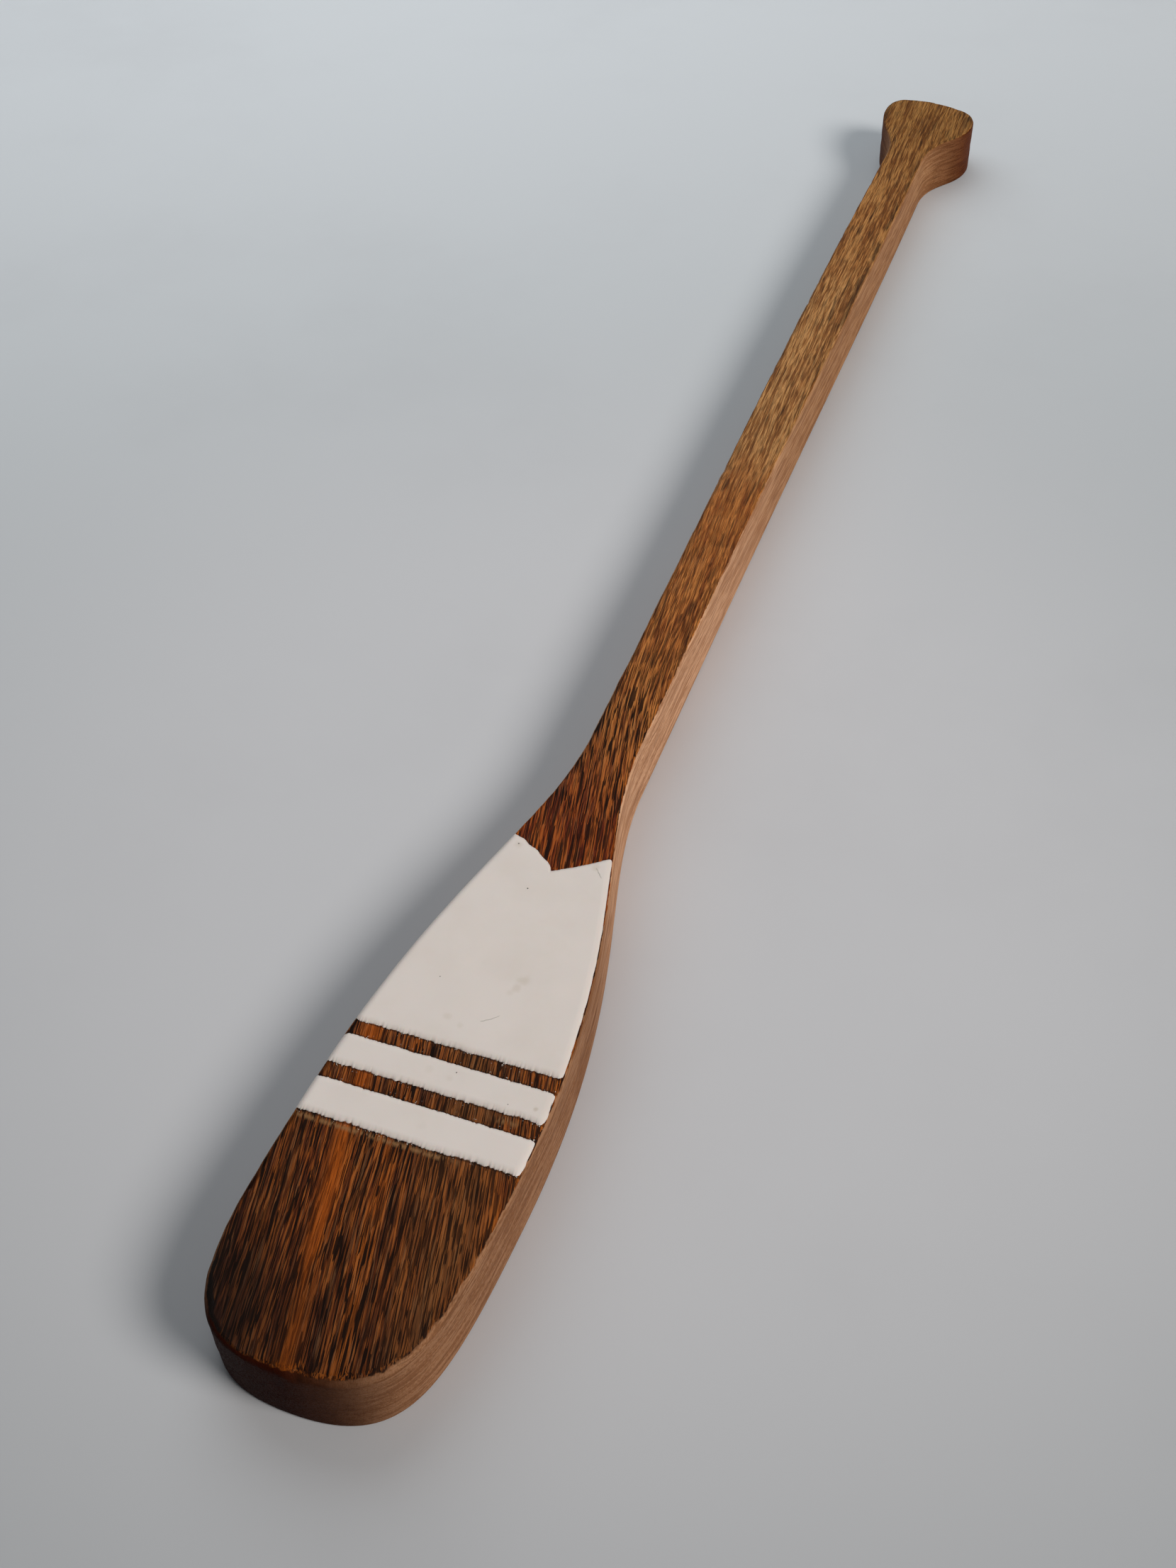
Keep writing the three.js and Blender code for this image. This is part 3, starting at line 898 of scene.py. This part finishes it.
def ragged(x, size, seed):
    """The uneven line that enamel leaves across the grain: random steps, wide, narrow and very fine."""
    dice = np.random.default_rng(seed)
    line = np.zeros_like(x)
    for step, share in ((5.0, 0.6), (1.3, 0.6), (0.5, 0.7), (0.24, 0.5)):
        knots = np.arange(-40, 40, step)
        line = line + share * np.interp(x, knots, dice.standard_normal(len(knots)))
    return size * line


def spaced(count, crowding):
    """Places from 0 to 1, more crowded towards both ends as the crowding rises."""
    t = np.linspace(-1, 1, count)
    return 0.5 + 0.5 * np.sign(t) * (1 - (1 - np.abs(t)) ** crowding)


def enamel_points(u, v, foot, head, seed, head_bite):
    """Places across (u) and along (v) a field: x between the blade's edges, y between its two lines.

    Each line is ragged, and the raggedness fades with the cube of the way to the other line."""
    y = foot + (head - foot) * v - centre_of_back[1]
    low_x = np.interp(y, left_y, left_x) + LEFT_INSET
    high_x = np.interp(y, right_y, right_x) - RIGHT_INSET
    x = low_x + (high_x - low_x) * u
    y = y + (1 - v) ** 3 * ragged(x, FOOT_BITE, seed) + v ** 3 * ragged(x, head_bite, seed + 7)
    return x, y, low_x, high_x


def rounded(distance, width):
    """A quarter-round rise from 0 at an edge to 1 at the given width inside it."""
    return np.sqrt(1 - (1 - np.clip(distance / width, 0, 1)) ** 2)


def enamel_field(name, foot, head_of, rows_along, crowding, seed, head_bite, finish):
    """One closed body of enamel: a proud face with rounded edges, over a sunk footing.

    The face stands at its height plus two faint waves, times the quarter-rounds of its four
    edges, and sinks where they fall. A wall joins its rim to the smaller, flat footing."""
    u, v = np.meshgrid(spaced(ENAMEL_COLUMNS, SIDE_CROWDING), spaced(rows_along, crowding))
    head = head_of(u)
    x, y, low_x, high_x = enamel_points(u, v, foot, head, seed, head_bite)
    ends = rounded((head - foot) * v, ENAMEL_RIM) * rounded((head - foot) * (1 - v), ENAMEL_RIM)
    sides = rounded(x - low_x, SIDE_RIM) * rounded(high_x - x, SIDE_RIM)
    slack = ENAMEL_WAVE * np.sin(x / 5.1 + seed) * np.sin(y / 7.3)
    slack = slack + ENAMEL_RIPPLE * np.sin(x / 2.3 - y / 3.1 + seed)
    z = THICKNESS + (ENAMEL_PROUD + slack) * ends * sides
    z = z - ENAMEL_SINK * (1 - ends) - SIDE_SINK * (1 - sides)
    top = np.stack([x, y, z], -1)
    inner_u = 0.5 + (u - 0.5) * FOOTING_WIDTH
    inner_v = 0.5 + (v - 0.5) * (1 - 2 * FOOTING_MARGIN / (head - foot))
    foot_x, foot_y, _, _ = enamel_points(inner_u, inner_v, foot, head, seed, head_bite)
    bottom = np.stack([foot_x, foot_y, np.full_like(foot_x, THICKNESS - ENAMEL_FOOTING)], -1)
    count = u.size
    index = np.arange(count).reshape(u.shape)
    upper = np.stack([index[:-1, :-1], index[:-1, 1:], index[1:, 1:], index[1:, :-1]], -1).reshape(-1, 4)
    lower = upper[:, ::-1] + count
    ring = np.concatenate([index[0, :-1], index[:-1, -1], index[-1, :0:-1], index[:0:-1, 0]])
    after = np.roll(ring, -1)
    wall = np.stack([after, ring, ring + count, after + count], -1)
    points = np.concatenate([top.reshape(-1, 3), bottom.reshape(-1, 3)])
    piece = mesh_piece(name, points, np.concatenate([upper, lower, wall]), {}, finish)
    return piece


SMUDGE_CLOUDS = 260
SMUDGE_UNEVENNESS = 1.6


def smudge_group():
    """A soft patch round a point: 1 at its centre, broken up by a cloud pattern, 0 past its size."""
    tree, source, result = new_group(
        "smudge", {"Place": "vector", "Centre": "vector", "Size": "value", "Softness": "value"},
        {"Mask": "value"})
    spot, centre, size, softness = source.outputs[:4]
    share = maths(tree, "DIVIDE", vector_maths(tree, "DISTANCE", spot, centre, "Value"), size)
    wobble = maths(tree, "SUBTRACT", noise(tree, spot, SMUDGE_CLOUDS, 3.0), 0.5)
    wobble = scaled(tree, wobble, SMUDGE_UNEVENNESS)
    uneven = maths(tree, "MULTIPLY_ADD", wobble, softness, share)
    full = maths(tree, "SUBTRACT", 1.0, softness)
    tree.links.new(eased(tree, uneven, 1.0, full), result.inputs[0])
    return tree


HAIRLINE_WIDTH = 0.22
HAIRLINE_JITTER = 0.6
HAIRLINE_START = 0.6
HAIRLINE_END = 0.8
HAIRLINE_CLOUDS = 900


def hairline_group():
    """A thin bent line: 1 within a hair's width of start + t direction + bend t squared sideways."""
    tree, source, result = new_group(
        "hairline",
        {"Place": "vector", "Start": "vector", "Direction": "vector", "Length": "value", "Bend": "value"},
        {"Mask": "value"})
    spot, start, direction, length, bend = source.outputs[:5]
    away = vector_maths(tree, "SUBTRACT", spot, start)
    ahead = vector_maths(tree, "DOT_PRODUCT", away, direction, "Value")
    sideways = vector_maths(tree, "CROSS_PRODUCT", direction, (0, 0, 1))
    aside = vector_maths(tree, "DOT_PRODUCT", away, sideways, "Value")
    curve = maths(tree, "MULTIPLY", maths(tree, "MULTIPLY", ahead, ahead), bend)
    jitter = maths(tree, "SUBTRACT", noise(tree, spot, HAIRLINE_CLOUDS, 2.0), 0.5)
    offset = maths(tree, "MULTIPLY_ADD", jitter, HAIRLINE_JITTER * MM, maths(tree, "ADD", aside, curve))
    thin = near(tree, offset, 0.0, HAIRLINE_WIDTH * MM)
    begun = eased(tree, ahead, 0.0, HAIRLINE_START * MM)
    left = eased(tree, maths(tree, "SUBTRACT", length, ahead), 0.0, HAIRLINE_END * MM)
    inside = maths(tree, "MULTIPLY", begun, left)
    tree.links.new(maths(tree, "MULTIPLY", thin, inside), result.inputs[0])
    return tree


def on_face(x, y):
    """A point on the enamel's face, given in mm, in the scene's metres."""
    return x * MM, y * MM, ENAMEL_FACE * MM


SMUDGE = smudge_group()
HAIRLINE = hairline_group()
ENAMEL_FACE = 22.5
ENAMEL_TONE = (0.785, 0.69, 0.625, 1)
STAIN_TONE = (0.56, 0.45, 0.33, 1)
SPECK_TONE = (0.05, 0.035, 0.025, 1)
CRACK_TONE = (0.26, 0.20, 0.15, 1)
CRACK_SHARE = 0.6
MOTTLE_CLOUDS = 55
MOTTLE_SPAN = (0.42, 0.72, 0.0, 0.10)
SMUDGE_SOFTNESS = 0.85
SPECK_SOFTNESS = 0.35
SHEEN_CLOUDS = 90
ENAMEL_ROUGHNESS_SPAN = (0.3, 0.7, 0.34, 0.46)
ENAMEL_SUBSURFACE = 0.08
ENAMEL_SUBSURFACE_SCALE = 0.001
RELIEF_CLOUDS = 240
RELIEF_STRENGTH = 0.12
RELIEF_DEPTH = 0.3

# Smudges: place on the face and size in mm, and strength. Specks: place and size.
SMUDGES = (
    (-10.2, -175.0, 2.0, 0.40), (13.6, -176.0, 1.8, 0.30),
    (9.4, -220.0, 2.6, 0.34), (8.2, -222.6, 2.0, 0.30), (7.2, -225.0, 1.6, 0.20),
    (-5.2, -237.5, 1.5, 0.22), (-1.0, -239.0, 1.2, 0.18),
    (27.0, -256.5, 0.9, 0.60), (-3.0, -254.0, 1.6, 0.14),
    (3.0, -255.2, 1.4, 0.16), (2.0, -270.5, 1.8, 0.10),
)
SPECKS = ((-1.7, -189.6, 0.32), (4.0, -252.9, 0.22), (-12.4, -226.0, 0.2), (20.0, -257.5, 0.2),
          (-10.4, -174.6, 0.3))
# Hairlines: start on the face in mm, direction, length in mm, and bend per metre
HAIRLINES = (((13.8, -176.0), (0.53, -0.85, 0.0), 4.6, 30.0), ((3.3, -236.2), (0.93, 0.37, 0.0), 5.6, 60.0))

enamel_finish, tree, surface, place = shader_material("white_enamel")
mottle = eased(tree, noise(tree, place, MOTTLE_CLOUDS, 4.0, 0.6), *MOTTLE_SPAN)
colour = blend(tree, mottle, ENAMEL_TONE, STAIN_TONE)
for x, y, size, strength in SMUDGES:
    patch = use_group(tree, SMUDGE, {"Place": place, "Centre": on_face(x, y), "Size": size * MM,
                                     "Softness": SMUDGE_SOFTNESS})
    colour = blend(tree, scaled(tree, patch, strength), colour, STAIN_TONE)
for x, y, size in SPECKS:
    speck = use_group(tree, SMUDGE, {"Place": place, "Centre": on_face(x, y), "Size": size * MM,
                                     "Softness": SPECK_SOFTNESS})
    colour = blend(tree, speck, colour, SPECK_TONE)
for (x, y), direction, length, bend in HAIRLINES:
    line = use_group(tree, HAIRLINE, {"Place": place, "Start": on_face(x, y), "Direction": direction,
                                      "Length": length * MM, "Bend": bend})
    colour = blend(tree, scaled(tree, line, CRACK_SHARE), colour, CRACK_TONE)
tree.links.new(colour, surface.inputs["Base Color"])
sheen = eased(tree, noise(tree, place, SHEEN_CLOUDS, 3.0), *ENAMEL_ROUGHNESS_SPAN)
tree.links.new(sheen, surface.inputs["Roughness"])
surface.inputs["Subsurface Weight"].default_value = ENAMEL_SUBSURFACE
surface.inputs["Subsurface Scale"].default_value = ENAMEL_SUBSURFACE_SCALE
bump = node(tree, "ShaderNodeBump", {"Height": noise(tree, place, RELIEF_CLOUDS, 3.0),
                                     "Strength": RELIEF_STRENGTH, "Distance": RELIEF_DEPTH * MM})
tree.links.new(bump.outputs[0], surface.inputs["Normal"])


def notch_line(u):
    """The panel's top line: a straight right leg, a hooked left leg, and a blunt point between them.

    With s from -1 to 1 across the blade, the right leg rises as the root of s squared plus a
    little, and the left as a power of -s with a faint wave."""
    s = 2 * u - 1
    right_leg = np.sqrt(np.clip(s, 0, None) ** 2 + NOTCH_BLUNTNESS) - NOTCH_SINK
    left_leg = np.clip(-s, 0, None) ** NOTCH_HOOK + NOTCH_WAVE * np.sin(np.clip(-s, 0, 1) * NOTCH_WAVES)
    return NOTCH_APEX + (NOTCH_SHOULDER - NOTCH_APEX) * np.where(s > 0, right_leg, left_leg)


panel = enamel_field("enamel_panel_white", PANEL_FOOT, notch_line, PANEL_ROWS, PANEL_CROWDING, PANEL_SEED,
                     PANEL_HEAD_BITE, enamel_finish)
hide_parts("enamel_panel")


# ---------------------------------------------------------------------------
# The two enamel stripes: the same white enamel in two narrow bands below the
# panel, each brushed straight across the blade between masked lines.
# ---------------------------------------------------------------------------
STRIPE_ROWS = 44
STRIPE_CROWDING = 1.3
STRIPE_HEAD_BITE = 0.09


def straight_line(at):
    """A stripe's upper line, the same all the way across."""
    return lambda u: np.full_like(u, at)


for name, node_name, (foot, head), seed in (
        ("enamel_stripe_upper_white", "enamel_stripe_upper", UPPER_STRIPE, 23),
        ("enamel_stripe_lower_white", "enamel_stripe_lower", LOWER_STRIPE, 41)):
    stripe = enamel_field(name, foot, straight_line(head), STRIPE_ROWS, STRIPE_CROWDING, seed,
                          STRIPE_HEAD_BITE, enamel_finish)
    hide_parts(node_name)
